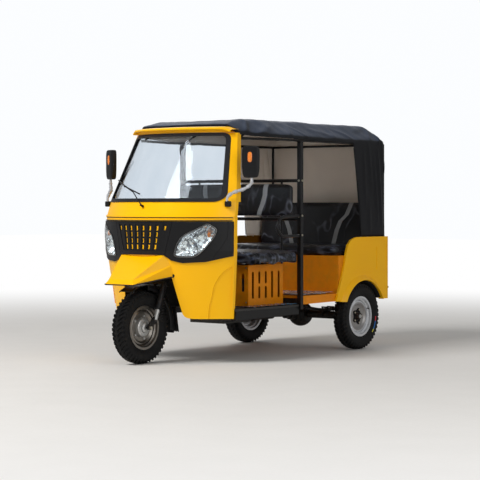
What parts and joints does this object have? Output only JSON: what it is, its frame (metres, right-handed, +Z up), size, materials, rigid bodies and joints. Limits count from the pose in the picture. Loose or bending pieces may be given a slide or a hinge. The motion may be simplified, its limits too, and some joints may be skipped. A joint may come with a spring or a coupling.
{
  "type": "auto rickshaw",
  "caption": "Three-wheeled passenger auto rickshaw with open sides, fabric canopy, steered front wheel and a rear bench.",
  "frame": {"origin": "on the ground under the middle of the vehicle's box", "axes": "+Z up, +Y towards the rear, +X towards the vehicle's left; it drives towards -Y"},
  "size_m": [1.54, 2.7565, 1.882],
  "materials": {
    "yellow_paint": "gloss",
    "black_plastic": "matt",
    "black_steel": "satin",
    "clear_glass": "clear",
    "seal_rubber": "matt",
    "lamp_lens": "clear",
    "red_lens": "gloss",
    "floor_rubber": "ribbed",
    "black_vinyl": "soft, stitched",
    "black_canvas": "coated canvas",
    "engine_iron": "rough",
    "tyre_rubber": "matt",
    "wheel_silver": "satin",
    "hub_alloy": "cast",
    "hub_iron": "rough"
  },
  "bodies": {
    "body": {"front_cowl": "yellow_paint", "front_fender": "yellow_paint", "roof_visor": "yellow_paint", "driver_seat_box": "yellow_paint", "bench_base": "yellow_paint", "passenger_floor": "yellow_paint", "rear_quarter_left": "yellow_paint", "rear_quarter_right": "yellow_paint", "rear_panel": "yellow_paint", "front_mask": "black_plastic", "mirror_left": "black_plastic", "mirror_right": "black_plastic", "dashboard": "black_plastic", "wiper": "black_plastic", "chassis_frame": "black_steel", "cross_members": "black_steel", "head_tube": "black_steel", "side_sills": "black_steel", "side_posts": "black_steel", "partition_frame": "black_steel", "canopy_frame": "black_steel", "foot_brake": "black_steel", "rear_axle": "black_steel", "leaf_springs": "black_steel", "rear_shocks": "black_steel", "drive_shaft": "black_steel", "exhaust": "black_steel", "windshield_glass": "clear_glass", "windshield_seal": "seal_rubber", "headlamp_left": "lamp_lens", "headlamp_right": "lamp_lens", "tail_lamps": "red_lens", "driver_floor": "floor_rubber", "driver_cushion": "black_vinyl", "driver_backrest": "black_vinyl", "passenger_cushion": "black_vinyl", "passenger_backrest": "black_vinyl", "canopy": "black_canvas", "engine_block": "engine_iron"},
    "steering": {"fork": "black_steel", "handlebar": "black_steel", "front_mudguard": "black_plastic"},
    "front_wheel": {"front_tyre": "tyre_rubber", "front_rim": "wheel_silver", "front_hub": "hub_alloy"},
    "rear_wheel_left": {"rear_tyre_left": "tyre_rubber", "rear_rim_left": "wheel_silver", "rear_hub_left": "hub_iron"},
    "rear_wheel_right": {"rear_tyre_right": "tyre_rubber", "rear_rim_right": "wheel_silver", "rear_hub_right": "hub_iron"}
  },
  "joints": [
    {"name": "steering", "type": "hinge", "parent": "body", "child": "steering", "pos_m": [0, -1.06075, 0.2725], "axis": [0, 0.3665, 0.9304], "range_deg": [-40, 40]},
    {"name": "front_wheel_spin", "type": "hinge", "parent": "steering", "child": "front_wheel", "pos_m": [0, -1.10575, 0.2725], "axis": [1, 0, 0], "continuous": true},
    {"name": "rear_wheel_left_spin", "type": "hinge", "parent": "body", "child": "rear_wheel_left", "pos_m": [0.568, 0.95425, 0.2725], "axis": [1, 0, 0], "continuous": true},
    {"name": "rear_wheel_right_spin", "type": "hinge", "parent": "body", "child": "rear_wheel_right", "pos_m": [-0.568, 0.95425, 0.2725], "axis": [1, 0, 0], "continuous": true}
  ]
}
